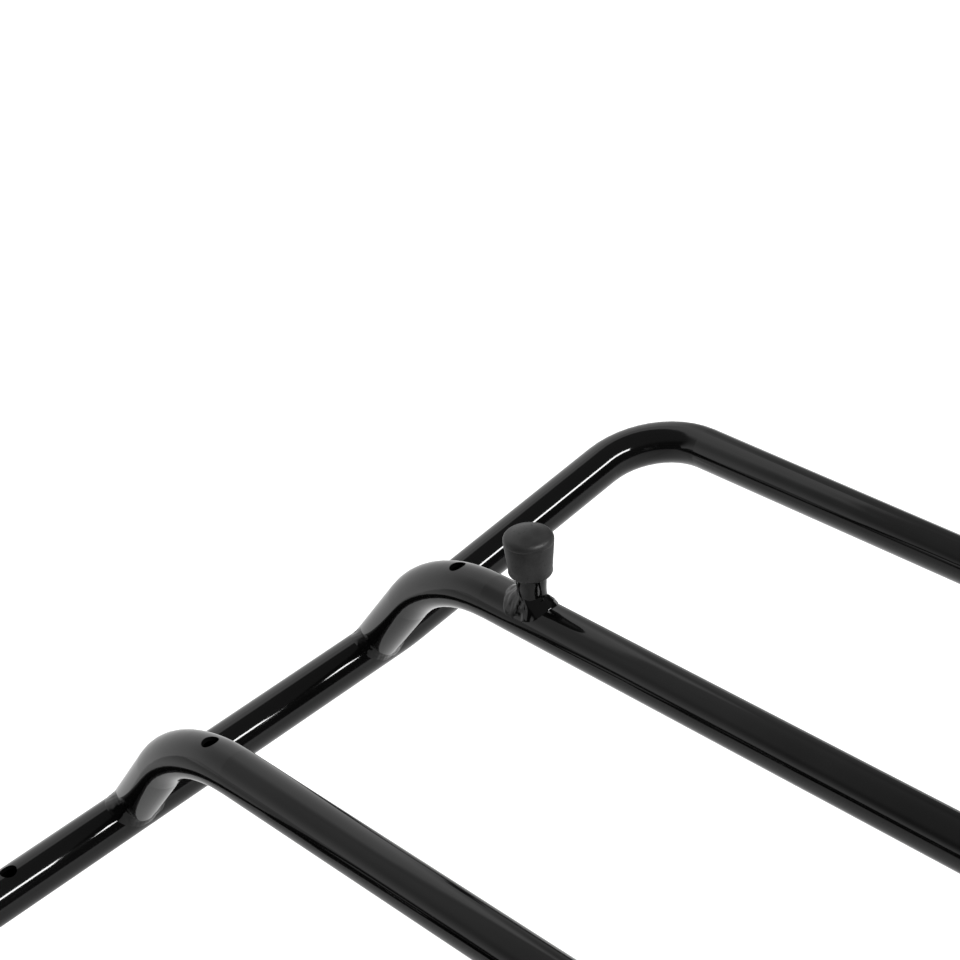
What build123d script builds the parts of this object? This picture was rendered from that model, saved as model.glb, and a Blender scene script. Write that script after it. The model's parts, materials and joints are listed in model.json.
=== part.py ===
"""Fold-down luggage rack of bent round tube, hinged on a wall rail.

Millimetres. X runs along the crossbars, Y out from the wall, Z up.
The origin is on the wall face, midway between the brackets, level with the hinge.
"""
import os
from math import cos, radians, sin, sqrt, tan

from build123d import *

os.makedirs("parts", exist_ok=True)

# ---- driving dimensions ------------------------------------------------------------
# tubes
tube_od = 16.0            # outer loop
bar_od = 15.8             # crossbars
wall_thickness = 1.5
drain_hole_d = 5.8

# platform plan
side_spacing = 520.0      # between the axes of the two side tubes
bar_spacing = 110.6
bar_count = 3
hinge_to_inner_bar = 72.0
outer_bar_to_end = 147.2  # outermost crossbar to the axis of the end tube
corner_radius = 28.6      # bend at the outer corners, on the tube's axis
kick_start = 11.6         # the side tubes turn up this far beyond the outermost crossbar
kick_angle = 6.0
kick_radius = 100.0
side_drain_offset = 161.1 # side tube's drain hole, inwards from the outermost crossbar

# swan-neck ends of the crossbars
bar_rise = 53.8           # crossbar axis above side tube axis
neck_slope = 50.2
neck_radius = 61.2
neck_foot_out = 1.2       # the neck's axis passes this far outboard of the side tube's axis
neck_drain_x = [55.0, 60.0, 57.5]   # each bar's drain holes from the side tube's axis

# rubber-capped pegs on the outermost crossbar
peg_inset = 90.8          # from the side tube's axis
peg_lean = 5.0            # degrees, outwards
peg_d = 10.2
peg_top = 34.2            # top of the rubber above the crossbar's axis, along the peg
cap_length = 17.0
cap_top_d = 16.7
cap_foot_d = 14.7
cap_wall_top = 4.0        # rubber over the end of the peg
cap_dome = 1.8
cap_rim_radius = 1.4
cap_foot_radius = 1.8
push_fit = 0.05           # clearance of pushed-together pieces, on the radius

# weld beads
bead = 2.4
peg_bead = 3.4

# hinge
sleeve_od = 20.0
bush_od = 12.0
pivot_d = 10.0
sleeve_length = 23.0
bush_length = 9.0
flange_d = 18.0
flange_thickness = 1.0
running_fit = 0.05
side_play = 0.3

# wall rail and brackets
plate = 4.0
rail_thickness = 5.0
rail_length = 566.0
rail_top = 25.0
rail_bottom = -45.0
rail_corner = 12.0
screw_spacing_x = 400.0
screw_spacing_z = 44.0
screw_hole_d = 9.0
bracket_reach = 73.0      # beyond the hinge axis
bracket_relief_d = 24.0
wall_gap_folded = 0.5     # between rubber caps and wall when folded up

# stop under the side tube
buffer_ahead = 56.0       # ahead of the hinge axis
buffer_d = 20.0
buffer_gap = 0.3
buffer_height = 9.7
bridge_length = 26.0
stud_d = 6.0

# ---- worked out --------------------------------------------------------------------
half_width = side_spacing / 2
tube_r = tube_od / 2
bar_r = bar_od / 2
lean = radians(peg_lean)
pivot_y = bar_rise + peg_top * cos(lean) + wall_gap_folded
bar_y = [pivot_y + hinge_to_inner_bar + bar_spacing * (bar_count - 1 - i) for i in range(bar_count)]
outer_bar_y = bar_y[0]
kick_y = outer_bar_y + kick_start
end_y = outer_bar_y + outer_bar_to_end
end_z = (end_y - kick_y) * tan(radians(kick_angle))
neck_run = bar_rise / tan(radians(neck_slope)) - neck_foot_out   # inboard of the side tube's axis
cheek_inside = sleeve_length / 2 + flange_thickness + side_play
cheek_outside = cheek_inside + plate
sides = {"left": -1, "right": 1}
print("hinge axis", round(pivot_y, 3), "crossbars", [round(y, 3) for y in bar_y])
print("end tube", round(end_y, 3), "raised", round(end_z, 3))


def save(piece, name):
    """Label a finished piece and write it."""
    piece.part.label = name
    export_step(piece.part, f"parts/{name}.step")


def loop_path():
    """Centre line of the U-shaped outer loop, from one hinge to the other."""
    rear_left = (-half_width, pivot_y, 0)
    kick_left = (-half_width, kick_y, 0)
    corner_left = (-half_width, end_y, end_z)
    corner_right = (half_width, end_y, end_z)
    kick_right = (half_width, kick_y, 0)
    rear_right = (half_width, pivot_y, 0)
    points = [rear_left, kick_left, corner_left, corner_right, kick_right, rear_right]
    with BuildLine() as path:
        FilletPolyline(*points, radius=[kick_radius, corner_radius, corner_radius, kick_radius])
    return path.line


def bar_path(y):
    """Centre line of a crossbar with a swan neck at each end."""
    foot = half_width + neck_foot_out
    shoulder = half_width - neck_run
    points = [(-foot, y, 0), (-shoulder, y, bar_rise), (shoulder, y, bar_rise), (foot, y, 0)]
    with BuildLine() as path:
        FilletPolyline(*points, radius=neck_radius)
    return path.line


def rod(path, radius):
    """Solid rod along a path, used as the outside of a tube."""
    with BuildPart() as solid:
        with BuildSketch(Plane(path @ 0, z_dir=path % 0)):
            Circle(radius)
        sweep(path=path)
    return solid.part


# ---- outer loop --------------------------------------------------------------------
loop_line = loop_path()
loop_outside = rod(loop_line, tube_r)

with BuildPart() as outer_loop:
    with BuildSketch(Plane(loop_line @ 0, z_dir=loop_line % 0)):
        Circle(tube_r)
        Circle(tube_r - wall_thickness, mode=Mode.SUBTRACT)
    sweep(path=loop_line)
    # the rear ends are notched to fit round the hinge sleeves
    with BuildSketch(Plane.YZ) as notch:
        with Locations((pivot_y, 0)):
            Circle(sleeve_od / 2)
    extrude(amount=half_width + tube_od, both=True, mode=Mode.SUBTRACT)
    # a drain hole in the upper wall of each side tube
    with BuildSketch(Plane.XY.offset(tube_r / 2)):
        with Locations([(s * half_width, outer_bar_y - side_drain_offset) for s in sides.values()]):
            Circle(drain_hole_d / 2)
    extrude(amount=tube_r, mode=Mode.SUBTRACT)
save(outer_loop, "outer_loop")


# ---- crossbars and their welds -----------------------------------------------------
def make_crossbar(y, drain_x):
    """Tube with swan necks, notched on the side tubes, drained at the top of each bend."""
    line = bar_path(y)
    bend_x = half_width - neck_run - neck_radius * tan(radians(neck_slope / 2))
    bend_z = bar_rise - neck_radius
    hole_x = half_width - drain_x
    hole_z = bend_z + sqrt((neck_radius + bar_r) ** 2 - (hole_x - bend_x) ** 2)
    with BuildPart() as crossbar:
        with BuildSketch(Plane(line @ 0, z_dir=line % 0)):
            Circle(bar_r)
            Circle(bar_r - wall_thickness, mode=Mode.SUBTRACT)
        sweep(path=line)
        add(loop_outside, mode=Mode.SUBTRACT)
        for side in sides.values():
            outward = Vector(side * (hole_x - bend_x), 0, hole_z - bend_z)
            with BuildSketch(Plane((side * hole_x, y, hole_z), z_dir=outward)):
                Circle(drain_hole_d / 2)
            extrude(amount=2 * wall_thickness, both=True, mode=Mode.SUBTRACT)
    return crossbar


def make_foot_welds(y, bar_outside):
    """Fillet bead round each foot of a crossbar, where it meets the side tube."""
    slope = radians(neck_slope)
    with BuildPart() as beads:
        for side in sides.values():
            neck = Plane((side * (half_width + neck_foot_out), y, 0), z_dir=(-side * cos(slope), 0, sin(slope)))
            with BuildSketch(neck):
                Circle(bar_r + bead)
            extrude(amount=2 * tube_od)
        with BuildSketch(Plane.XZ.offset(-y)):
            with Locations((-half_width, 0), (half_width, 0)):
                Circle(tube_r + bead)
        extrude(amount=2 * tube_od, both=True, mode=Mode.INTERSECT)
        add(loop_outside, mode=Mode.SUBTRACT)
        add(bar_outside, mode=Mode.SUBTRACT)
    return beads


bar_outsides = [rod(bar_path(y), bar_r) for y in bar_y]
for number, y in enumerate(bar_y, start=1):
    save(make_crossbar(y, neck_drain_x[number - 1]), f"crossbar_{number}")
    save(make_foot_welds(y, bar_outsides[number - 1]), f"crossbar_{number}_welds")


# ---- rubber-capped pegs on the outermost crossbar ----------------------------------
def peg_plane(side):
    """Plane square to a peg, at the crossbar's axis."""
    return Plane((side * (half_width - peg_inset), outer_bar_y, bar_rise), x_dir=(1, 0, 0),
                 z_dir=(0, sin(lean), cos(lean)))


def upright(plane):
    """Plane through a peg's axis, for turned profiles: local x is outwards, y along it."""
    return Plane(plane.origin, x_dir=plane.x_dir, z_dir=-plane.y_dir)


def make_peg(side):
    """Steel stub, notched to sit on the crossbar."""
    stub_length = peg_top - cap_wall_top
    with BuildPart() as peg:
        with BuildSketch(peg_plane(side)):
            Circle(peg_d / 2)
        extrude(amount=stub_length)
        chamfer(peg.faces().sort_by(Axis.Z)[-1].edges(), length=0.8)
        add(bar_outsides[0], mode=Mode.SUBTRACT)
    return peg


def make_peg_weld(side):
    """Fillet bead round the foot of a peg."""
    with BuildPart() as weld:
        with BuildSketch(peg_plane(side)):
            Circle(peg_d / 2 + peg_bead)
            Circle(peg_d / 2 + push_fit, mode=Mode.SUBTRACT)
        extrude(amount=2 * bar_r)
        with BuildSketch(Plane.YZ):
            with Locations((outer_bar_y, bar_rise)):
                Circle(bar_r + peg_bead)
        extrude(amount=half_width, both=True, mode=Mode.INTERSECT)
        add(bar_outsides[0], mode=Mode.SUBTRACT)
    return weld


def make_cap(side):
    """Rubber cap with a domed top, pushed over the peg."""
    foot = peg_top - cap_length
    rim = peg_top - cap_dome
    top_r = cap_top_d / 2
    foot_r = cap_foot_d / 2
    bore_r = peg_d / 2 + push_fit
    bore_end = peg_top - cap_wall_top
    with BuildPart() as cap:
        with BuildSketch(upright(peg_plane(side))):
            with BuildLine():
                Polyline((0, peg_top), (0, bore_end), (bore_r, bore_end), (bore_r, foot),
                         (foot_r, foot), (top_r, rim))
                ThreePointArc((top_r, rim), (top_r / 2, rim + 0.75 * cap_dome), (0, peg_top))
            make_face()
        revolve(axis=Axis(peg_plane(side).origin, peg_plane(side).z_dir))
        rings = cap.edges().filter_by(GeomType.CIRCLE)
        fillet(rings.filter_by(lambda edge: abs(edge.radius - top_r) < push_fit), cap_rim_radius)
        rings = cap.edges().filter_by(GeomType.CIRCLE)
        fillet(rings.filter_by(lambda edge: abs(edge.radius - foot_r) < push_fit), cap_foot_radius)
    return cap


for name, side in sides.items():
    save(make_peg(side), f"{name}_peg")
    save(make_peg_weld(side), f"{name}_peg_weld")
    save(make_cap(side), f"{name}_peg_cap")


# ---- hinges ------------------------------------------------------------------------
def across(x):
    """Plane square to the hinge axis at x, its origin on that axis."""
    return Plane((x, pivot_y, 0), x_dir=(0, 1, 0), z_dir=(1, 0, 0))


def make_sleeve(side):
    """Short tube welded across the rear end of a side tube."""
    with BuildPart() as sleeve:
        with BuildSketch(across(side * half_width)):
            Circle(sleeve_od / 2)
            Circle(bush_od / 2, mode=Mode.SUBTRACT)
        extrude(amount=sleeve_length / 2, both=True)
    return sleeve


def make_sleeve_weld(side):
    """Fillet bead between a side tube and its sleeve."""
    with BuildPart() as weld:
        with BuildSketch(Plane.XZ.offset(-pivot_y)):
            with Locations((side * half_width, 0)):
                Circle(tube_r + bead)
        extrude(amount=-2 * tube_od)
        with BuildSketch(across(side * half_width)):
            Circle(sleeve_od / 2 + bead)
        extrude(amount=sleeve_length / 2, both=True, mode=Mode.INTERSECT)
        with BuildSketch(across(side * half_width)):
            Circle(sleeve_od / 2)
        extrude(amount=sleeve_length / 2, both=True, mode=Mode.SUBTRACT)
        add(loop_outside, mode=Mode.SUBTRACT)
    return weld


def make_bush(side, end):
    """Flanged bush, pressed into one end of a sleeve (end is -1 or 1 along X)."""
    mouth = side * half_width + end * sleeve_length / 2
    with BuildPart() as bush:
        with BuildSketch(across(mouth)):
            Circle(flange_d / 2)
        extrude(amount=end * flange_thickness)
        with BuildSketch(across(mouth)):
            Circle(bush_od / 2)
        extrude(amount=-end * bush_length)
        with BuildSketch(across(mouth)):
            Circle(pivot_d / 2 + running_fit)
        extrude(amount=2 * bush_length, both=True, mode=Mode.SUBTRACT)
    return bush


washer_d = 20.0
washer_thickness = 2.0
head_across = 17.0
head_height = 6.4
nut_height = 10.0
thread_past_nut = 2.0


def make_pivot_bolt(side):
    """Hexagon bolt through both cheeks, its head outboard."""
    x_axis = side * half_width
    head_seat = x_axis + side * (cheek_outside + washer_thickness)
    tip = cheek_outside + washer_thickness + nut_height + thread_past_nut
    with BuildPart() as bolt:
        with BuildSketch(across(head_seat)):
            RegularPolygon(head_across / 2, 6, major_radius=False)
        extrude(amount=side * head_height)
        chamfer(bolt.edges().group_by(Axis.X)[-1 if side > 0 else 0], length=0.7)
        with BuildSketch(across(head_seat)):
            Circle(pivot_d / 2)
        extrude(amount=-side * (cheek_outside + washer_thickness + tip))
        chamfer(bolt.edges().group_by(Axis.X)[0 if side > 0 else -1], length=0.8)
    return bolt


def make_pivot_nut(side):
    """Self-locking nut on the inboard side: a hexagon with a round collar."""
    seat = side * (half_width - cheek_outside - washer_thickness)
    hexagon = 0.75 * nut_height
    with BuildPart() as nut:
        with BuildSketch(across(seat)):
            RegularPolygon(head_across / 2, 6, major_radius=False)
        extrude(amount=-side * hexagon)
        with BuildSketch(across(seat - side * hexagon)):
            Circle(0.46 * head_across)
        extrude(amount=-side * (nut_height - hexagon))
        fillet(nut.edges().group_by(Axis.X)[0 if side > 0 else -1], radius=1.2)
        with BuildSketch(across(seat)):
            Circle(pivot_d / 2)
        extrude(amount=-side * nut_height, mode=Mode.SUBTRACT)
    return nut


def make_pivot_washers(side):
    """A plain washer under the head and one under the nut."""
    with BuildPart() as washers:
        for end in (-1, 1):
            with BuildSketch(across(side * half_width + end * cheek_outside)):
                Circle(washer_d / 2)
                Circle(pivot_d / 2, mode=Mode.SUBTRACT)
            extrude(amount=end * washer_thickness)
    return washers


for name, side in sides.items():
    save(make_sleeve(side), f"{name}_hinge_sleeve")
    save(make_sleeve_weld(side), f"{name}_sleeve_weld")
    save(make_bush(side, side), f"{name}_outer_bush")
    save(make_bush(side, -side), f"{name}_inner_bush")
    save(make_pivot_bolt(side), f"{name}_pivot_bolt")
    save(make_pivot_nut(side), f"{name}_pivot_nut")
    save(make_pivot_washers(side), f"{name}_pivot_washers")


# ---- wall rail and brackets --------------------------------------------------------
rail_height = rail_top - rail_bottom
rail_middle = (rail_top + rail_bottom) / 2
with BuildPart() as wall_rail:
    with BuildSketch(Plane.XZ):
        with Locations((0, rail_middle)):
            RectangleRounded(rail_length, rail_height, rail_corner)
            with GridLocations(screw_spacing_x, screw_spacing_z, 2, 2):
                Circle(screw_hole_d / 2, mode=Mode.SUBTRACT)
    extrude(amount=-rail_thickness)
    chamfer(wall_rail.faces().sort_by(Axis.Y)[-1].outer_wire().edges(), length=0.8)
save(wall_rail, "wall_rail")

cheek_top = rail_top - 3
cheek_bottom = rail_bottom + 3
nose_top = -6.5
nose_bottom = -27.0
nose_y = pivot_y + bracket_reach
bridge_top = -tube_r - buffer_gap - buffer_height
boss_r = 16.0


def make_bracket(side):
    """Folded channel: a web on the rail and two cheeks that hold the hinge bolt."""
    x_axis = side * half_width
    with BuildPart() as bracket:
        with BuildSketch(Plane.YZ.offset(x_axis)):
            with BuildLine():
                Polyline((rail_thickness, cheek_top), (pivot_y - 12, boss_r - 2),
                         (pivot_y + 14, boss_r - 4), (pivot_y + 30, nose_top),
                         (nose_y, nose_top), (nose_y, nose_bottom),
                         (rail_thickness, cheek_bottom), close=True)
            cheek = make_face()
            fillet(cheek.vertices().sort_by(Axis.Y)[2:], radius=6)
            with Locations((pivot_y, 0)):
                Circle(pivot_d / 2 + running_fit, mode=Mode.SUBTRACT)
            with Locations((pivot_y / 2, -8)):
                Circle(bracket_relief_d / 2, mode=Mode.SUBTRACT)
        extrude(amount=cheek_outside, both=True)
        with BuildSketch(Plane.XZ.offset(-rail_thickness - plate)):
            with Locations((x_axis, rail_middle)):
                Rectangle(2 * cheek_inside, 2 * rail_height)
        extrude(amount=-2 * bracket_reach - pivot_y, mode=Mode.SUBTRACT)
    return bracket


def make_bracket_welds():
    """Fillet beads down both sides of each bracket, on the face of the rail."""
    leg = 4.0
    with BuildPart() as welds:
        with BuildSketch(Plane.XY.offset(cheek_bottom)):
            for side in sides.values():
                for end in (-1, 1):
                    edge = side * half_width + end * cheek_outside
                    with BuildLine():
                        Polyline((edge, rail_thickness), (edge + end * leg, rail_thickness),
                                 (edge, rail_thickness + leg), close=True)
                    make_face()
        extrude(amount=cheek_top - cheek_bottom)
    return welds


def make_stop_bridge(side):
    """Plate welded between the cheeks, under the side tube."""
    middle = (side * half_width, pivot_y + buffer_ahead)
    with BuildPart() as bridge:
        with BuildSketch(Plane.XY.offset(bridge_top - plate)):
            with Locations(middle):
                Rectangle(2 * cheek_inside, bridge_length)
                Circle(stud_d / 2 + push_fit, mode=Mode.SUBTRACT)
        extrude(amount=plate)
    return bridge


def buffer_plane(side, z):
    """Level plane at height z, centred on a buffer."""
    return Plane((side * half_width, pivot_y + buffer_ahead, z))


stud_in_rubber = 4.0
stud_below = 12.0


def make_buffer(side):
    """Rubber disc that the side tube comes down on."""
    with BuildPart() as buffer:
        with BuildSketch(buffer_plane(side, bridge_top)):
            Circle(buffer_d / 2)
        extrude(amount=buffer_height)
        fillet(buffer.edges().group_by(Axis.Z)[-1], radius=2.0)
        with BuildSketch(buffer_plane(side, bridge_top)):
            Circle(stud_d / 2)
        extrude(amount=stud_in_rubber, mode=Mode.SUBTRACT)
    return buffer


def make_buffer_stud(side):
    """Threaded stud moulded into the buffer, through the bridge."""
    with BuildPart() as stud:
        with BuildSketch(buffer_plane(side, bridge_top - stud_below)):
            Circle(stud_d / 2)
        extrude(amount=stud_below + stud_in_rubber)
        chamfer(stud.edges().group_by(Axis.Z)[0], length=0.6)
    return stud


def make_buffer_nut(side):
    """Hexagon nut under the bridge."""
    nut_thickness = 5.0
    across_flats = 10.0
    with BuildPart() as nut:
        with BuildSketch(buffer_plane(side, bridge_top - plate)):
            RegularPolygon(across_flats / 2, 6, major_radius=False)
            Circle(stud_d / 2, mode=Mode.SUBTRACT)
        extrude(amount=-nut_thickness)
    return nut


for name, side in sides.items():
    save(make_bracket(side), f"{name}_bracket")
    save(make_stop_bridge(side), f"{name}_stop_bridge")
    save(make_buffer(side), f"{name}_buffer")
    save(make_buffer_stud(side), f"{name}_buffer_stud")
    save(make_buffer_nut(side), f"{name}_buffer_nut")
save(make_bracket_welds(), "bracket_welds")
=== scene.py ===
# %% [markdown]
# A fold-down luggage rack of bent black tube.
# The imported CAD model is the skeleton: it gives every tube, plate and bush in its true place
# and size, and it is never moved. This lesson adds what CAD is poor at: the lumpy weld beads,
# the soft rubber mouldings, the threads, and a finish for every surface. It ends in a small
# studio. Run the cells from top to bottom.

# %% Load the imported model
import json
import math

import bmesh
import bpy
from mathutils import Matrix, Vector, noise


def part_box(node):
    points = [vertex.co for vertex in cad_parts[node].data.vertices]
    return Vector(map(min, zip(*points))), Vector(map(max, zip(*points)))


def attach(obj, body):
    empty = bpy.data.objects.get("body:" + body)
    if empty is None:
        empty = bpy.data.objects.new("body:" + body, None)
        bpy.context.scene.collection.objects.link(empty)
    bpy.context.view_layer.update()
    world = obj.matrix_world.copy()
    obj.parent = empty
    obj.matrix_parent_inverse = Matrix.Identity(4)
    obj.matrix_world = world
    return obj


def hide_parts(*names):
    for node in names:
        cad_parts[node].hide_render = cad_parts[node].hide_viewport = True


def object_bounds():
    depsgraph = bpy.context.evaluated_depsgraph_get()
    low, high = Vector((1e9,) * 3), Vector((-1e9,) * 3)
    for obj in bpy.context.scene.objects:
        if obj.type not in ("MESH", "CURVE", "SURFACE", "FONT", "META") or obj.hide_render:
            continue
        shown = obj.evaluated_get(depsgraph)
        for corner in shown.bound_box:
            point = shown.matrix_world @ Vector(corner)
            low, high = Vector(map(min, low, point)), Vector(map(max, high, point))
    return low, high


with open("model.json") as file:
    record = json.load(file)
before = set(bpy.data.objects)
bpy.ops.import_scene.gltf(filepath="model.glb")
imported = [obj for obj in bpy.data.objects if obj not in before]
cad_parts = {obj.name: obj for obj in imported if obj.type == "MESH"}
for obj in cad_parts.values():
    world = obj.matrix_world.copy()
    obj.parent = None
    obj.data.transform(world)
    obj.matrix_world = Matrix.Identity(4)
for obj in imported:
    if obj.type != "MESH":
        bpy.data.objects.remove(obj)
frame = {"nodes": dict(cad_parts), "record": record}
cad_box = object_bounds()
nodes = frame["nodes"]
print("nodes", len(nodes), "box", [tuple(round(v, 4) for v in corner) for corner in cad_box])

# %% [markdown]
# Everything new has to sit on the CAD parts, so its places come from their boxes. A tube's
# axis is half its width inside its box. Only sizes that a box can't tell, such as the slope
# of a swan neck or the lean of a peg, are given here. All lengths are in metres.

# %% Places and sizes taken from the frame
mm = 0.001
sides = {"left": -1, "right": 1}
bar_numbers = (1, 2, 3)


def box_middle(name):
    """Centre of a node's box."""
    low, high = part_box(name)
    return (Vector(low) + Vector(high)) / 2


tube_radius = -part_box("outer_loop")[0][2]
bar_low, bar_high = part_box("crossbar_1")
bar_radius = (bar_high[1] - bar_low[1]) / 2
bar_rise = bar_high[2] - bar_radius
side_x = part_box("outer_loop")[1][0] - tube_radius
bar_ys = {number: box_middle(f"crossbar_{number}").y for number in bar_numbers}
hinge = box_middle("left_hinge_sleeve")
sleeve_radius = (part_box("left_hinge_sleeve")[1][2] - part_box("left_hinge_sleeve")[0][2]) / 2
neck_slope = math.radians(50.2)
neck_foot_out = 1.2 * mm
peg_lean = math.radians(5.0)
peg_axis = Vector((0, math.sin(peg_lean), math.cos(peg_lean)))
print("side tubes at x", round(side_x, 4), "crossbars at y", [round(y, 4) for y in bar_ys.values()])

# %% [markdown]
# Shader maths reads best as plain expressions. This class wraps one output socket, so that
# `dust * 0.5 + 0.2` adds the Math nodes by itself, and `1 - mask` works too. Every other node
# comes from one function, which sets the node's settings first and then its sockets.


# %% A socket that can be written in expressions
class Wire:
    """One output socket of a node tree, with arithmetic."""

    def __init__(self, tree, socket):
        self.tree = tree
        self.socket = socket

    def math(self, operation, *values):
        new = self.tree.nodes.new("ShaderNodeMath")
        new.operation = operation
        for place, value in enumerate((self,) + values):
            plug(self.tree, new.inputs[place], value)
        return Wire(self.tree, new.outputs[0])

    def __add__(self, other):
        return self.math("ADD", other)

    def __mul__(self, other):
        return self.math("MULTIPLY", other)

    def __sub__(self, other):
        return self.math("SUBTRACT", other)

    def __rsub__(self, other):
        return self.math("MULTIPLY", -1.0).math("ADD", other)

    __radd__ = __add__
    __rmul__ = __mul__

    def between(self, low, high):
        """0 below low, 1 above high, smooth between them."""
        return add_node(self.tree, "ShaderNodeMapRange", {"interpolation_type": "SMOOTHSTEP"},
                        Value=self, From_Min=low, From_Max=high)


def plug(tree, socket, value):
    """Link a wire into a socket, or set the socket's own value."""
    if isinstance(value, Wire):
        tree.links.new(value.socket, socket)
    else:
        socket.default_value = value


def add_node(tree, kind, settings=None, output=0, **inputs):
    """A node of any type: its settings first, then the values or wires of its sockets."""
    new = tree.nodes.new(kind)
    for name, value in (settings or {}).items():
        setattr(new, name, value)
    for name, value in inputs.items():
        plug(tree, new.inputs[name.replace("_", " ")], value)
    return Wire(tree, new.outputs[output])


def mix_colour(tree, factor, first, second):
    """Blend of two colours by a factor."""
    new = tree.nodes.new("ShaderNodeMix")
    new.data_type = "RGBA"
    for socket, value in ((0, factor), (6, first), (7, second)):
        plug(tree, new.inputs[socket], value)
    return Wire(tree, new.outputs[2])


def split_vector(tree, vector):
    """The x, y and z of a vector, as three wires."""
    split = tree.nodes.new("ShaderNodeSeparateXYZ")
    tree.links.new(vector.socket, split.inputs[0])
    return [Wire(tree, socket) for socket in split.outputs]


def start_material(name):
    """A material with its Principled shader, and a noise maker on the object's own coordinates."""
    material = bpy.data.materials.new(name)
    material.use_nodes = True
    tree = material.node_tree
    where = add_node(tree, "ShaderNodeTexCoord", output="Object")

    def grain(per_metre, detail=2.0):
        return add_node(tree, "ShaderNodeTexNoise", Vector=where, Scale=per_metre, Detail=detail)

    return material, tree, tree.nodes["Principled BSDF"].inputs, grain


def grey(level, warmth=0.0):
    """A grey, or a slightly warm one."""
    return (level * (1 + warmth), level, level * (1 - warmth), 1.0)


print("shader helpers ready")

# %% [markdown]
# The tubes and plates are powder coated in gloss black. The coat is sprayed as dust and
# baked, so it is thick and almost mirror smooth, but never quite flat. It has a long, low
# sag, a finer orange peel, a few trapped specks, and a faint haze where hands have been. The
# relief goes through Bump nodes, because it is far too fine for a mesh.


# %% Gloss black powder coat
def make_black_paint():
    material, tree, shader, grain = start_material("gloss_black_powder_coat")
    sag = grain(28.0, 1.0)
    peel = grain(220.0, 1.0)
    haze = grain(16.0, 5.0)
    specks = grain(1500.0, 1.0).between(0.74, 0.80)
    scuffs = grain(90.0, 6.0).between(0.66, 0.78) * haze.between(0.5, 0.7)
    tone = mix_colour(tree, haze.between(0.35, 0.70), grey(0.0030), grey(0.0055))
    plug(tree, shader["Base Color"], mix_colour(tree, specks * 0.20 + scuffs * 0.08, tone, grey(0.05)))
    plug(tree, shader["Roughness"], 0.06 + haze * 0.04 + specks * 0.12 + scuffs * 0.06)
    shader["IOR"].default_value = 1.5
    ripple = add_node(tree, "ShaderNodeBump", Height=sag, Strength=0.5, Distance=0.5 * mm)
    skin = add_node(tree, "ShaderNodeBump", Height=peel + specks * 0.3, Strength=0.10,
                    Distance=0.06 * mm, Normal=ripple)
    plug(tree, shader["Normal"], skin)
    return material


# %% [markdown]
# The caps and buffers are moulded rubber. It is a dark grey rather than black, with a fine
# matt grain from the mould and a patchy bloom, so its highlights are broad and weak.


# %% Moulded rubber
def make_rubber():
    material, tree, shader, grain = start_material("moulded_black_rubber")
    fine = grain(1400.0, 3.0)
    pits = grain(600.0, 2.0).between(0.62, 0.72)
    bloom = grain(130.0, 4.0)
    tone = mix_colour(tree, bloom.between(0.35, 0.7), grey(0.026), grey(0.040))
    plug(tree, shader["Base Color"], mix_colour(tree, pits * 0.4, tone, grey(0.015)))
    plug(tree, shader["Roughness"], 0.38 + fine * 0.10 + bloom * 0.12 + pits * 0.08)
    plug(tree, shader["Normal"],
         add_node(tree, "ShaderNodeBump", Height=fine - pits * 0.6, Strength=0.22, Distance=0.15 * mm))
    return material


# %% [markdown]
# Bolts, nuts and washers are zinc plated steel: a metal with a dull, slightly mottled shine.
# The hinge bushes are oiled bronze, stained where the oil has gathered.


# %% Zinc plate and oiled bronze
def make_metal(name, dull, bright, roughness, mottle_scale):
    material, tree, shader, grain = start_material(name)
    mottle = grain(mottle_scale, 5.0)
    fine = grain(1100.0, 3.0)
    stain = grain(60.0, 4.0).between(0.60, 0.75)
    tone = mix_colour(tree, mottle.between(0.3, 0.7), dull, bright)
    plug(tree, shader["Base Color"], mix_colour(tree, stain * 0.5, tone, grey(0.12, 0.15)))
    plug(tree, shader["Roughness"], roughness + mottle * 0.16 + fine * 0.08 + stain * 0.15)
    shader["Metallic"].default_value = 1.0
    plug(tree, shader["Normal"],
         add_node(tree, "ShaderNodeBump", Height=fine, Strength=0.15, Distance=0.1 * mm))
    return material


finishes = {
    "black_paint": make_black_paint(),
    "rubber": make_rubber(),
    "zinc": make_metal("zinc_plate", grey(0.42), grey(0.63, -0.02), 0.22, 180.0),
    "bronze": make_metal("oiled_bronze", (0.25, 0.15, 0.07, 1), (0.50, 0.33, 0.16, 1), 0.32, 150.0),
}
print("finishes", sorted(finishes))

# %% [markdown]
# The record says which finish each CAD part takes, so one loop dresses them all. The parts
# keep their meshes: only the material slots change.

# %% Give every CAD part its finish
slot_of = {part["node"]: part["material_slot"] for part in frame["record"]["subparts"]}
for name, piece in nodes.items():
    piece.data.materials.clear()
    piece.data.materials.append(finishes[slot_of[name]])
print("finished", len(nodes), "parts")

# %% [markdown]
# Three small helpers make every new piece. `turned` spins a profile about an axis, as a lathe
# does, and merges the seam and the poles. `stand` gives the matrix that carries a shape made
# upright to its place.


# %% Helpers for new pieces
def turned(mesh, profile, steps=96):
    """Spin a profile of (radius, height) pairs about +Z."""
    verts = [mesh.verts.new((radius, 0, height)) for radius, height in profile]
    edges = [mesh.edges.new(pair) for pair in zip(verts, verts[1:])]
    bmesh.ops.spin(mesh, geom=verts + edges, cent=(0, 0, 0), axis=(0, 0, 1), dvec=(0, 0, 0),
                   angle=math.tau, steps=steps, use_merge=True, use_duplicate=False)
    bmesh.ops.remove_doubles(mesh, verts=mesh.verts, dist=1e-6)


def arc(centre, radius, start, end, steps=8):
    """Points of an arc in a profile, from one angle in degrees to another."""
    angles = [math.radians(start + (end - start) * i / steps) for i in range(steps + 1)]
    return [(centre[0] + radius * math.cos(a), centre[1] + radius * math.sin(a)) for a in angles]


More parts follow.
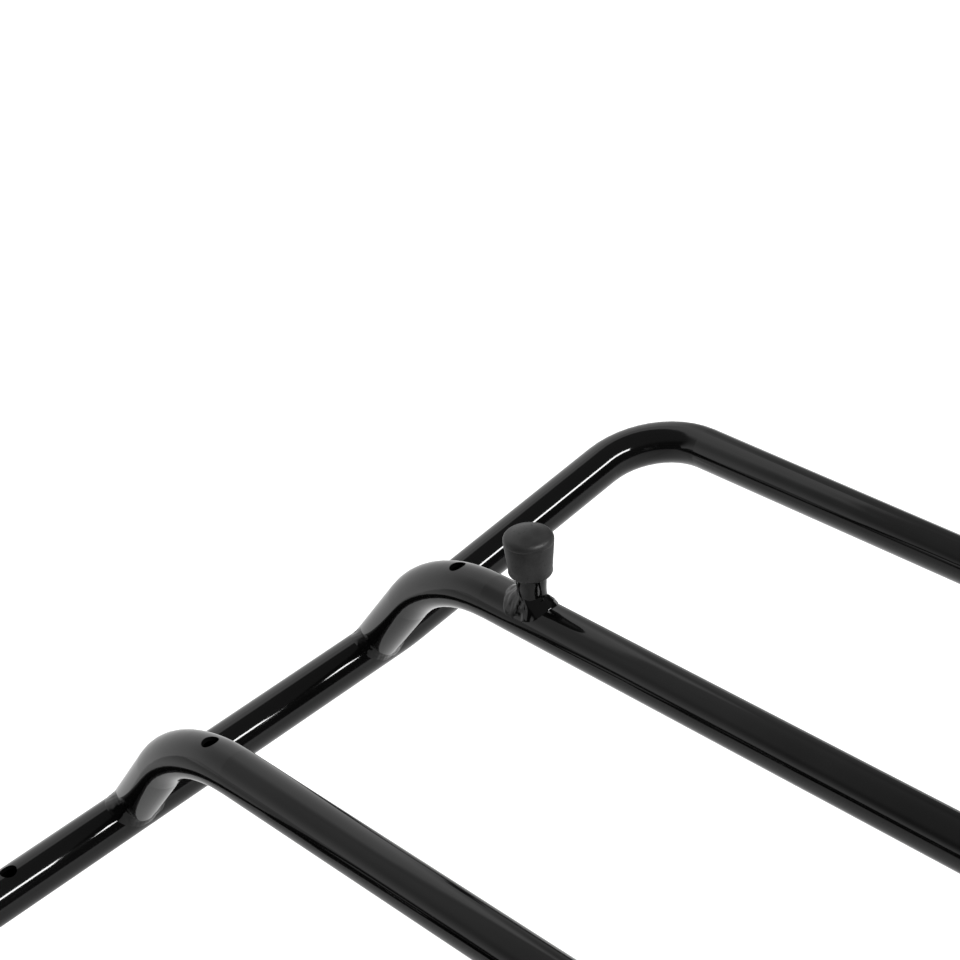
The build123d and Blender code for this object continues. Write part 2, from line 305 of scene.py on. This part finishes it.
def stand(origin, direction):
    """Matrix that carries +Z at the origin to a direction at a point."""
    turn = Vector((0, 0, 1)).rotation_difference(Vector(direction)).to_matrix().to_4x4()
    return Matrix.Translation(origin) @ turn


def finish_piece(name, mesh, body, slot, *replaced, sharp_over=40):
    """Object from a bmesh, riding on a body and standing for some CAD nodes."""
    bmesh.ops.recalc_face_normals(mesh, faces=mesh.faces)
    data = bpy.data.meshes.new(name)
    mesh.to_mesh(data)
    mesh.free()
    data.materials.append(finishes[slot])
    data.polygons.foreach_set("use_smooth", [True] * len(data.polygons))
    data.set_sharp_from_angle(angle=math.radians(sharp_over))
    piece = bpy.data.objects.new(name, data)
    bpy.context.scene.collection.objects.link(piece)
    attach(piece, body)
    if replaced:
        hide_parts(*replaced)
    print(name, len(data.polygons), "faces")


# %% [markdown]
# A weld bead fills the corner where one tube meets another. It could be a boolean fillet,
# but a real bead wanders: its legs are longer here and shorter there, it is laid in small
# overlapping scales, and thick paint softens it all. So a flat grid is wrapped into a closed
# band. Its long side follows the corner and its short side runs round the bead's section: a
# curve from a foot on one tube to a foot on the other, and back inside the metal.

# %% The section of a weld bead
bead_sink = 0.15 * mm
scale_pitch = 1.6 * mm
scale_height = 0.022 * mm
seen_share = 0.75


def wander(along, seed, pace=1.6):
    """Smooth noise, about -1 to 1, that closes on itself once round."""
    turn = along * math.tau
    return 1.6 * noise.noise(Vector((pace * math.cos(turn), pace * math.sin(turn), 7.3 * seed)))


def bead_point(spot, along, place, run_length, bead):
    """A point of a bead: place goes from foot to foot, then back under the surface."""
    corner, up, out, seat = spot
    seed = bead["seed"]
    lopsided = 1 + bead["unevenness"] * math.cos(math.tau * (along - bead["heavy_at"]))
    rise = bead["rise"] * lopsided * (1 + 0.15 * wander(along, seed))
    reach = bead["reach"] * lopsided * (1 + 0.15 * wander(along, seed + 3))
    high_foot = corner + up * rise - out * bead_sink
    low_foot = seat(corner + out * reach)
    if place > seen_share:
        back = (place - seen_share) / (1 - seen_share)
        inside = corner - (up + out) * 4 * bead_sink
        if back < 0.5:
            return low_foot.lerp(inside, 2 * back)
        return inside.lerp(high_foot, 2 * back - 1)
    t = place / seen_share
    pull = 0.42 - bead["fullness"] * (1 + 0.3 * wander(along, seed + 5))
    near_high = high_foot.lerp(corner, pull)
    near_low = low_foot.lerp(corner, pull)
    point = (high_foot * (1 - t) ** 3 + near_high * 3 * t * (1 - t) ** 2
             + near_low * 3 * t * t * (1 - t) + low_foot * t ** 3)
    outward = ((high_foot + low_foot) / 2 - corner).normalized()
    scales = math.sin(math.tau * (along * run_length / scale_pitch + 0.5 * (t - 0.5) ** 2))
    lump = bead["lumps"] * (wander(along, seed + 8, 2.0) + 0.6 * wander(along, seed + 9 + t, 4.0))
    return point + outward * math.sin(math.pi * t) * (scale_height * scales + lump)


def add_bead(mesh, spot_at, run_length, bead, crater=None):
    """Wrap a grid along a corner. spot_at gives the corner, its two walls and a seat at a share."""
    grid = bmesh.ops.create_grid(mesh, x_segments=int(run_length / (0.30 * mm)), y_segments=16, size=0.5)
    for vert in grid["verts"]:
        along, place = vert.co.x + 0.5, vert.co.y + 0.5
        spot = spot_at(along)
        vert.co = bead_point(spot, along, place, run_length, bead)
        if crater:
            vert.co += crater_depth(vert.co, spot, crater)
    bmesh.ops.remove_doubles(mesh, verts=grid["verts"], dist=1e-6)


# %% [markdown]
# Where a welder lifts the torch, the last puddle shrinks into a small crater with a raised
# lip. It is a dent in the bead's surface, so it needs no mesh of its own.

# %% The crater at the end of a bead
crater_radius = 1.0 * mm
lip_height, lip_width = 0.28 * mm, 0.35 * mm
pit_depth, pit_width = 0.45 * mm, 0.6 * mm


def crater_depth(point, spot, middle):
    """How far a point moves: out on the crater's lip, in at its middle."""
    away = (point - middle).length
    lip = lip_height * math.exp(-((away - crater_radius) / lip_width) ** 2)
    pit = pit_depth * math.exp(-(away / pit_width) ** 2)
    corner, up, out, seat = spot
    return (up + out).normalized() * (lip - pit)


# %% [markdown]
# Where two tubes meet, the corner is the curve on which both surfaces lie. At each turn
# about the branching tube its wall is a straight line, and that line meets the other tube
# where a quadratic says. `tube_corner` returns that point, the way up the branch, the way
# out along the other tube, and a seat function that lays a point on the other tube.


# %% The corner between two tubes
def tube_corner(branch_point, branch_axis, branch_radius, run_point, run_axis, run_radius):
    """A function from a share of one turn to the corner there."""
    branch_axis = branch_axis.normalized()
    run_axis = run_axis.normalized()
    first = branch_axis.cross(run_axis).normalized()
    second = branch_axis.cross(first)

    def flat(vector):
        return vector - run_axis * vector.dot(run_axis)

    def seat(point):
        away = flat(point - run_point)
        return point + away.normalized() * (run_radius - bead_sink - away.length)

    def spot_at(along):
        turn = along * math.tau
        ray = first * math.cos(turn) + second * math.sin(turn)
        start = branch_point + ray * branch_radius
        gap, step = flat(start - run_point), flat(branch_axis)
        half = gap.dot(step) / step.dot(step)
        inside = half * half - (gap.dot(gap) - run_radius ** 2) / step.dot(step)
        corner = start + branch_axis * (math.sqrt(max(inside, 0.0)) - half)
        normal = flat(corner - run_point).normalized()
        down = ray - branch_axis
        out = (down - normal * down.dot(normal)).normalized()
        return corner, branch_axis, out, seat

    return spot_at


# %% [markdown]
# Each crossbar ends in two swan necks that stand on the side tubes. Their beads are slim,
# and fuller on the outer side, where the welder finished and left a crater.

# %% Beads at the feet of the crossbars
neck_turn_length = math.tau * 1.15 * bar_radius
foot_bead = {"rise": 3.0 * mm, "reach": 3.0 * mm, "fullness": 0.35, "unevenness": 0.28,
             "heavy_at": 0.08, "lumps": 0.20 * mm}
foot_run_end = 0.10
foot_crater_out = 1.6 * mm


def add_foot_bead(mesh, side, y, seed):
    foot = Vector((side * (side_x + neck_foot_out), y, 0))
    along_neck = Vector((-side * math.cos(neck_slope), 0, math.sin(neck_slope)))
    spot_at = tube_corner(foot, along_neck, bar_radius, Vector((side * side_x, y, 0)),
                          Vector((0, 1, 0)), tube_radius)
    corner, up, out, seat = spot_at(foot_run_end)
    crater = corner + (up + out) * foot_crater_out
    add_bead(mesh, spot_at, neck_turn_length, foot_bead | {"seed": seed}, crater)


for number, y in bar_ys.items():
    beads = bmesh.new()
    for side in sides.values():
        add_foot_bead(beads, side, y, seed=2 * number + side)
    finish_piece(f"crossbar_{number}_weld_beads", beads, "platform", "black_paint",
                 f"crossbar_{number}_welds")

# %% [markdown]
# The pegs are short stubs, so their welds are fat and untidy for their size. The stub itself
# is a little waisted above the weld. It is spun from its profile and runs down into the
# crossbar, so that the bead hides where it ends.

# %% Pegs and their beads
peg_radius = 5.1 * mm
peg_waist = 0.25 * mm
peg_length = 30.2 * mm
peg_edge = 0.8 * mm
peg_bead = {"rise": 2.9 * mm, "reach": 4.8 * mm, "fullness": 0.62, "unevenness": 0.30,
            "heavy_at": 0.4, "lumps": 0.40 * mm}
peg_turn_length = math.tau * 1.3 * peg_radius


def peg_profile():
    """A stub with a soft waist, from inside the crossbar to its chamfered top."""
    start = bar_radius - 1.3 * mm
    waisted = 9.0 * mm
    points = [(0, start)]
    for i in range(13):
        share = i / 12
        points.append((peg_radius - peg_waist * math.sin(math.pi * share) ** 2, start + waisted * share))
    return points + [(peg_radius, peg_length - peg_edge), (peg_radius - peg_edge, peg_length),
                     (0, peg_length)]


def peg_origin(name):
    """Where a peg's axis crosses the crossbar's."""
    return Vector((box_middle(f"{name}_peg").x, bar_ys[1], bar_rise))


for name, side in sides.items():
    peg = bmesh.new()
    turned(peg, peg_profile())
    bmesh.ops.transform(peg, matrix=stand(peg_origin(name), peg_axis), verts=peg.verts)
    finish_piece(f"{name}_peg_stub", peg, "platform", "black_paint", f"{name}_peg")
    bead = bmesh.new()
    spot_at = tube_corner(peg_origin(name), peg_axis, peg_radius - 0.2 * mm,
                          peg_origin(name), Vector((1, 0, 0)), bar_radius)
    add_bead(bead, spot_at, peg_turn_length, peg_bead | {"seed": 11 + side})
    finish_piece(f"{name}_peg_weld_bead", bead, "platform", "black_paint", f"{name}_peg_weld")

# %% [markdown]
# The rubber caps take the knocks when the rack is folded against the wall. Each is a soft
# cup: a low dome, a round rim with the faint groove of the mould's parting line under it,
# a side that tapers, and a round foot. The hollow is modelled too, down to the peg's end.

# %% Rubber caps on the pegs
cap_top = 34.2 * mm
cap_length = 17.0 * mm
cap_radius = 8.35 * mm
cap_foot_radius = 7.4 * mm
cap_bore = 5.15 * mm
cap_roof = 4.0 * mm
cap_dome = 1.6 * mm
rim_round = 2.1 * mm
groove = 0.12 * mm


def cap_profile():
    rim_middle = (cap_radius - rim_round, cap_top - cap_dome - rim_round)
    points = []
    for i in range(9):
        share = i / 9
        points.append((rim_middle[0] * share, cap_top - cap_dome * share * share))
    points += arc(rim_middle, rim_round, 74, 0, 9)
    under = rim_middle[1] - 0.5 * mm
    points += [(cap_radius - 0.02 * mm, under), (cap_radius - groove, under - 0.15 * mm),
               (cap_radius - groove, under - 0.3 * mm), (cap_radius - 0.05 * mm, under - 0.5 * mm)]
    foot_z = cap_top - cap_length
    foot_round = 1.9 * mm
    points += arc((cap_foot_radius - foot_round, foot_z + 2 * foot_round), foot_round, 0, -20, 3)
    points += arc((cap_foot_radius - foot_round, foot_z + foot_round), foot_round, -15, -90, 8)
    return points + [(cap_bore, foot_z), (cap_bore, cap_top - cap_roof), (0, cap_top - cap_roof)]


for name in sides:
    cap = bmesh.new()
    turned(cap, cap_profile(), 128)
    bmesh.ops.transform(cap, matrix=stand(peg_origin(name), peg_axis), verts=cap.verts)
    finish_piece(f"{name}_rubber_cap", cap, "platform", "rubber", f"{name}_peg_cap", sharp_over=55)

# %% [markdown]
# At the wall end each side tube is notched onto its hinge sleeve and welded all round. The
# branch is the side tube, which leaves the sleeve along +Y.

# %% Beads at the hinge sleeves
sleeve_bead = {"rise": 2.2 * mm, "reach": 2.2 * mm, "fullness": 0.30, "unevenness": 0.10,
               "heavy_at": 0.25, "lumps": 0.10 * mm}
for name, side in sides.items():
    middle = Vector((side * side_x, hinge.y, hinge.z))
    bead = bmesh.new()
    spot_at = tube_corner(middle, Vector((0, 1, 0)), tube_radius, middle, Vector((1, 0, 0)), sleeve_radius)
    add_bead(bead, spot_at, math.tau * 1.1 * tube_radius, sleeve_bead | {"seed": 21 + side})
    finish_piece(f"{name}_sleeve_weld_bead", bead, "platform", "black_paint", f"{name}_sleeve_weld")

# %% [markdown]
# The brackets are welded to the wall rail with four straight beads. Here the corner is a
# line and both walls are flat. The legs shrink to nothing at both ends, so that the band
# closes by itself.

# %% Beads along the brackets
rail_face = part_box("wall_rail")[1][1]
weld_low, weld_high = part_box("bracket_welds")
weld_length = weld_high[2] - weld_low[2]
bracket_bead = {"rise": 3.2 * mm, "reach": 3.2 * mm, "fullness": 0.35, "unevenness": 0.0,
                "heavy_at": 0.0, "lumps": 0.10 * mm}


def straight_corner(x, outward):
    """Corner between a bracket's cheek and the rail's face, from the bottom up."""
    up = Vector((0, 1, 0))
    out = Vector((outward, 0, 0))

    def spot_at(along):
        thickness = math.sqrt(max(0.0, 1 - abs(2 * along - 1) ** 16))
        corner = Vector((x, rail_face, weld_low[2] + weld_length * along))
        return corner, up * thickness, out * thickness, lambda point: point

    return spot_at


beads = bmesh.new()
for name, side in sides.items():
    bracket_low, bracket_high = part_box(f"{name}_bracket")
    for x, outward in ((bracket_low[0], -1), (bracket_high[0], 1)):
        add_bead(beads, straight_corner(x, outward), weld_length,
                 bracket_bead | {"seed": 31 + side + 4 * outward})
finish_piece("bracket_weld_beads", beads, "wall_frame", "black_paint", "bracket_welds")

# %% [markdown]
# A forged hexagon isn't a plain prism: its corners are turned away by a 30 degree chamfer,
# which leaves a round face and six curved facets. The hexagon starts as a circle of six
# sides, each side is cut into eight, and then every point of the top is lowered by how far
# it stands outside the round face.


# %% Chamfered hexagons
def add_hexagon(mesh, across_flats, bottom, height):
    """A hexagonal head or nut on +Z, its upper corners chamfered."""
    flat_radius = across_flats / 2
    face_radius = 0.95 * flat_radius
    before = set(mesh.faces)
    made = bmesh.ops.create_circle(mesh, cap_ends=True, radius=across_flats / math.sqrt(3), segments=6)
    rim = list({edge for vert in made["verts"] for edge in vert.link_edges})
    bmesh.ops.subdivide_edges(mesh, edges=rim, cuts=7)
    face = next(item for item in mesh.faces if item not in before)
    bmesh.ops.translate(mesh, verts=face.verts, vec=(0, 0, bottom))
    for place in (0.0, 1.0):
        grown = bmesh.ops.extrude_face_region(mesh, geom=[face])
        face = next(item for item in grown["geom"] if isinstance(item, bmesh.types.BMFace))
        for vert in face.verts:
            reach = vert.co.xy.length
            drop = (reach - face_radius) * math.tan(math.radians(30))
            vert.co.z = bottom + height - drop * (1 - place)
            if place:
                vert.co.xy *= face_radius / reach


# %% [markdown]
# A thread is one tooth, spun along a helix: `spin` moves the tooth a little along the axis
# at each step. The ends of the helix are filled, and a plain core runs through it.


# %% Screw threads
def add_thread(mesh, radius, pitch, start, end):
    """A threaded end on +Z between two heights."""
    root = radius - 0.6 * pitch
    turns = (end - start) / pitch - 1
    steps = int(40 * turns)
    tooth = ((root - 0.1 * mm, 0.02), (radius, 0.42), (radius, 0.56), (root - 0.1 * mm, 0.96))
    verts = [mesh.verts.new((reach, 0, start + share * pitch)) for reach, share in tooth]
    edges = [mesh.edges.new((verts[i], verts[i - 1])) for i in range(4)]
    before = set(mesh.faces)
    bmesh.ops.spin(mesh, geom=verts + edges, cent=(0, 0, 0), axis=(0, 0, 1),
                   dvec=(0, 0, pitch * turns / steps), angle=math.tau * turns, steps=steps,
                   use_merge=False, use_duplicate=False)
    helix = [face for face in mesh.faces if face not in before]
    loose = [edge for face in helix for edge in face.edges if edge.is_boundary]
    bmesh.ops.holes_fill(mesh, edges=list(set(loose)), sides=4)
    edge = 0.35 * pitch
    core = bmesh.new()
    turned(core, [(0, start), (root, start), (root, end - edge), (root - edge, end), (0, end)], 48)
    scrap = bpy.data.meshes.new("thread_core")
    core.to_mesh(scrap)
    core.free()
    mesh.from_mesh(scrap)
    bpy.data.meshes.remove(scrap)


# %% [markdown]
# The hinge bolt has its head outboard and its thread inboard, where a self-locking nut holds
# it: a hexagon with a rounded collar that grips a plastic ring. Both are made upright and
# then stood along X. `outward` points from the middle of the rack to its side.

# %% Hinge bolts
head_across = 17.0 * mm
head_height = 6.4 * mm
bolt_radius = 5.0 * mm
nut_height = 10.0 * mm
thread_shown = 14.0 * mm
bolt_pitch = 1.5 * mm
seat_radius = 7.6 * mm
seat_height = 0.4 * mm


def make_bolt(name, side):
    low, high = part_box(f"{name}_pivot_bolt")
    length = high[0] - low[0]
    shank = length - head_height
    bolt = bmesh.new()
    turned(bolt, [(0, 0), (seat_radius, 0), (seat_radius, -seat_height), (bolt_radius, -seat_height),
                  (bolt_radius, -(shank - thread_shown)), (0, -(shank - thread_shown))], 64)
    bmesh.ops.translate(bolt, verts=bolt.verts, vec=(0, 0, seat_height))
    add_hexagon(bolt, head_across, seat_height, head_height - seat_height)
    thread = bmesh.new()
    add_thread(thread, bolt_radius, bolt_pitch, shank - thread_shown - 1 * mm, shank)
    bmesh.ops.transform(thread, matrix=Matrix.Rotation(math.pi, 4, "X"), verts=thread.verts)
    scrap = bpy.data.meshes.new("bolt_thread")
    thread.to_mesh(scrap)
    thread.free()
    bolt.from_mesh(scrap)
    bpy.data.meshes.remove(scrap)
    outward = Vector((side, 0, 0))
    seat_x = low[0] + head_height if side < 0 else high[0] - head_height
    bmesh.ops.transform(bolt, matrix=stand((seat_x, hinge.y, hinge.z), outward), verts=bolt.verts)
    return bolt


def make_locknut(name, side):
    low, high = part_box(f"{name}_pivot_nut")
    seat_x = low[0] if side < 0 else high[0]
    hexagon = 0.75 * nut_height
    collar = 0.46 * head_across
    nut = bmesh.new()
    profile = [(bolt_radius - 0.2 * mm, hexagon - 1 * mm), (collar, hexagon - 1 * mm)]
    profile += arc((collar - 1.2 * mm, nut_height - 1.2 * mm), 1.2 * mm, 0, 90, 6)
    profile += [(bolt_radius + 0.8 * mm, nut_height - 0.05 * mm),
                (bolt_radius - 0.2 * mm, nut_height - 0.7 * mm), (bolt_radius - 0.2 * mm, hexagon - 1 * mm)]
    turned(nut, profile, 64)
    add_hexagon(nut, head_across, 0, hexagon)
    inward = Vector((-side, 0, 0))
    bmesh.ops.transform(nut, matrix=stand((seat_x, hinge.y, hinge.z), inward), verts=nut.verts)
    return nut


# %% [markdown]
# Each stop buffer is a rubber disc with a rounded crown and a shallow waist, moulded onto a
# threaded stud. A plain nut holds the stud under the bridge plate.

# %% Rubber buffers, their studs and nuts
stud_radius = 3.0 * mm
stud_pitch = 1.0 * mm
stud_hidden = 4.0 * mm
stud_nut_across = 10.0 * mm
buffer_base_round = 0.6 * mm
buffer_crown = 2.0 * mm
buffer_waist = 0.5 * mm


def make_buffer(name):
    low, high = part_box(f"{name}_buffer")
    height = high[2] - low[2]
    radius = (high[0] - low[0]) / 2
    base = buffer_base_round
    crown = buffer_crown
    profile = [(0, 0)] + arc((radius - base, base), base, -90, 0, 4)
    for i in range(1, 8):
        share = i / 8
        waist = buffer_waist * math.sin(math.pi * share) ** 2
        profile.append((radius - waist, base + (height - crown - base) * share))
    profile += arc((radius - crown, height - crown), crown, 0, 90, 8) + [(0, height)]
    buffer = bmesh.new()
    turned(buffer, profile)
    middle = box_middle(f"{name}_buffer")
    bmesh.ops.translate(buffer, verts=buffer.verts, vec=(middle.x, middle.y, low[2]))
    return buffer


def make_stud(name):
    low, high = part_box(f"{name}_buffer_stud")
    length = high[2] - low[2]
    middle = box_middle(f"{name}_buffer_stud")
    stud = bmesh.new()
    add_thread(stud, stud_radius, stud_pitch, stud_hidden, length)
    bmesh.ops.transform(stud, matrix=stand((middle.x, middle.y, high[2]), (0, 0, -1)), verts=stud.verts)
    return stud


def make_stud_nut(name):
    low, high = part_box(f"{name}_buffer_nut")
    middle = box_middle(f"{name}_buffer_nut")
    nut = bmesh.new()
    add_hexagon(nut, stud_nut_across, 0, high[2] - low[2])
    bmesh.ops.transform(nut, matrix=stand((middle.x, middle.y, high[2]), (0, 0, -1)), verts=nut.verts)
    return nut


for name, side in sides.items():
    finish_piece(f"{name}_hinge_bolt", make_bolt(name, side), "wall_frame", "zinc",
                 f"{name}_pivot_bolt", sharp_over=28)
    finish_piece(f"{name}_hinge_locknut", make_locknut(name, side), "wall_frame", "zinc",
                 f"{name}_pivot_nut", sharp_over=28)
    finish_piece(f"{name}_stop_buffer", make_buffer(name), "wall_frame", "rubber", f"{name}_buffer")
    finish_piece(f"{name}_buffer_screw", make_stud(name), "wall_frame", "zinc",
                 f"{name}_buffer_stud", sharp_over=28)
    finish_piece(f"{name}_buffer_hexagon", make_stud_nut(name), "wall_frame", "zinc",
                 f"{name}_buffer_nut", sharp_over=28)

# %% [markdown]
# The studio is a plain white floor, well below the rack. It gives its own light to the
# camera, so it reads as clean white. Reflections see it dimmer, which keeps the underside of
# the tubes dark: a little brighter towards -X, as if near a window, and brightest beyond the
# far corner.

# %% Studio floor
low, high = Vector(cad_box[0]), Vector(cad_box[1])
centre = (low + high) / 2
floor_drop = 0.25
floor_half = 3.2
floor_white = 0.95
floor_level, window_level, corner_level = 0.12, 0.15, 0.34
floor_mesh = bmesh.new()
bmesh.ops.create_grid(floor_mesh, x_segments=1, y_segments=1, size=floor_half)
bmesh.ops.translate(floor_mesh, verts=floor_mesh.verts, vec=(centre.x, centre.y, low.z - floor_drop))
floor_data = bpy.data.meshes.new("floor")
floor_mesh.to_mesh(floor_data)
floor_mesh.free()
floor = bpy.data.objects.new("floor", floor_data)
bpy.context.scene.collection.objects.link(floor)
floor_paint, floor_tree, floor_shader = start_material("white_floor")[:3]
floor_shader["Base Color"].default_value = grey(0.5)
floor_shader["Roughness"].default_value = 0.9
floor_shader["Emission Color"].default_value = grey(1.0)
seen_directly = add_node(floor_tree, "ShaderNodeLightPath", output="Is Camera Ray")
spot = add_node(floor_tree, "ShaderNodeTexCoord", output="Object")
across, outwards = split_vector(floor_tree, spot)[:2]
near_window = 1 - across.between(low.x - 0.25, high.x)
far_corner = near_window * outwards.between(centre.y, high.y)
reflected = near_window * window_level + far_corner * corner_level + floor_level
plug(floor_tree, floor_shader["Emission Strength"],
     seen_directly * floor_white + (1 - seen_directly) * reflected)
floor_data.materials.append(floor_paint)

# %% [markdown]
# Gloss black shows nothing but what it reflects, so the light is drawn for its reflections.
# The room is nearly black, with a faint glow overhead and a soft, weak wall of light on the
# -X side. A world shader makes both from the direction of the ray.

# %% Soft light all round
world = bpy.data.worlds.new("studio")
world.use_nodes = True
bpy.context.scene.world = world
room = world.node_tree
toward_x, toward_y, toward_z = split_vector(room, add_node(room, "ShaderNodeTexCoord", output="Generated"))
far_wall = (0 - toward_x).between(0.35, 0.85) * toward_z.between(-0.12, -0.06)
overhead = toward_z.between(0.45, 0.70)
wall_level, overhead_level, dark_level = 0.75, 0.10, 0.02
glow = far_wall * wall_level + overhead * overhead_level + dark_level
is_camera = add_node(room, "ShaderNodeLightPath", output="Is Camera Ray")
sky = room.nodes["Background"].inputs
plug(room, sky["Color"], grey(1.0))
plug(room, sky["Strength"], glow * (1 - is_camera) + is_camera)

# %% [markdown]
# A white card stands close beside the rack and throws a clean, even reflection on the sides
# of the tubes. A lamp has hard edges, so the card is a glowing plane whose strength fades
# towards its top and its far end. The near half fades slowly, over its whole height, and the
# far half only close to its top. Its foot hangs lower at the far end, so no gap shows there.

# %% White card
card_x = low.x - 0.26
card_top = 0.70
card_fade = 0.12
card_far = high.y + 0.46
card_near = low.y - 0.9
card_foot = 0.10
card_end_fade = 0.25
foot_fade = 0.03
foot_lowered = 0.6
near_half_level = 0.95
card_level = 0.9
card_mesh = bmesh.new()
bmesh.ops.create_grid(card_mesh, x_segments=1, y_segments=1, size=0.5)
card_height = card_top - low.z + floor_drop
bmesh.ops.scale(card_mesh, verts=card_mesh.verts, vec=(card_height, card_far - card_near, 1))
bmesh.ops.rotate(card_mesh, verts=card_mesh.verts, matrix=Matrix.Rotation(math.pi / 2, 3, "Y"))
card_middle = Vector((card_x, (card_far + card_near) / 2, (card_top + low.z - floor_drop) / 2))
bmesh.ops.translate(card_mesh, verts=card_mesh.verts, vec=card_middle)
card_data = bpy.data.meshes.new("card")
card_mesh.to_mesh(card_data)
card_mesh.free()
card = bpy.data.objects.new("card", card_data)
bpy.context.scene.collection.objects.link(card)
card.visible_camera = False
card.visible_shadow = False
card_paint, card_tree, card_shader = start_material("white_card")[:3]
spot = add_node(card_tree, "ShaderNodeTexCoord", output="Object")
outwards, upwards = split_vector(card_tree, spot)[1:]
far_half = outwards.between(0.15, 0.45)
long_fade = (1 - upwards.between(card_foot, card_top)) * near_half_level
short_fade = 1 - upwards.between(card_top - card_fade, card_top)
lit = long_fade * (1 - far_half) + short_fade * far_half
lit = lit * (1 - outwards.between(card_far - card_end_fade, card_far))
foot_height = upwards + outwards.between(0.0, 0.30) * foot_lowered
above_foot = foot_height.between(card_foot - foot_fade, card_foot)
plug(card_tree, card_shader["Emission Strength"], lit * above_foot * card_level)
card_shader["Emission Color"].default_value = grey(1.0)
card_shader["Base Color"].default_value = grey(0.0)
card_shader["Specular IOR Level"].default_value = 0.0
plug(card_tree, card_shader["Alpha"], lit * above_foot)
card_data.materials.append(card_paint)
print("card", round(card_far - card_near, 2), "m long, its top at", card_top)

# %% [markdown]
# A narrow strip light draws the bright line along the side tube. A line of light that lies
# in one plane with the tube and the camera is mirrored along the middle of the tube, so the
# strip hangs parallel to the tube, on the far side of the camera and a few degrees below
# that plane.


# %% Strip light
camera_step = Vector((0.6080, -0.4229, 0.5587))
strip_distance = 2.5
strip_drop = math.radians(4)
strip_near_end, strip_far_end = 0.15, 2.15
strip_width = 0.30
strip_radiance = 28.0
strip_rise = math.atan2(camera_step.z, camera_step.x) - strip_drop
backwards = Vector((math.cos(strip_rise), 0, math.sin(strip_rise)))
strip_data = bpy.data.lights.new("strip", "AREA")
strip_data.shape = "RECTANGLE"
strip_data.size = strip_width
strip_data.size_y = strip_far_end - strip_near_end
strip_data.energy = strip_radiance * math.pi * strip_data.size * strip_data.size_y
strip = bpy.data.objects.new("strip", strip_data)
bpy.context.scene.collection.objects.link(strip)
strip_middle = Vector((-side_x, (strip_near_end + strip_far_end) / 2, 0))
strip.location = backwards * strip_distance + strip_middle
facing = Matrix((Vector((0, 1, 0)).cross(backwards), (0, 1, 0), backwards)).transposed()
strip.rotation_euler = facing.to_euler()
strip.visible_camera = False
print("strip at", [round(v, 3) for v in strip.location])

# %% [markdown]
# The camera looks down over the left-hand corner, from the inside of the rack outwards. It
# stands at a fixed step from the spot where the outermost crossbar meets the side tube, so
# it follows the frame. A long lens keeps the tubes nearly parallel.

# %% Camera
azimuth = math.radians(51.6)
elevation = math.radians(33.85)
roll = math.radians(9.2)
camera_data = bpy.data.cameras.new("camera")
camera_data.sensor_width = 36.0
camera_data.lens = 96.2
camera_data.clip_start = 0.01
camera = bpy.data.objects.new("camera", camera_data)
bpy.context.scene.collection.objects.link(camera)
bpy.context.scene.camera = camera
forward = Vector((-math.sin(azimuth) * math.cos(elevation), math.cos(azimuth) * math.cos(elevation),
                  -math.sin(elevation)))
camera.location = Vector((-side_x, bar_ys[1], 0)) + camera_step
level = forward.to_track_quat("-Z", "Y")
camera.rotation_euler = (level.to_matrix() @ Matrix.Rotation(-roll, 3, "Z")).to_euler()
bpy.context.scene.view_settings.view_transform = "Standard"
print("camera at", [round(v, 3) for v in camera.location])
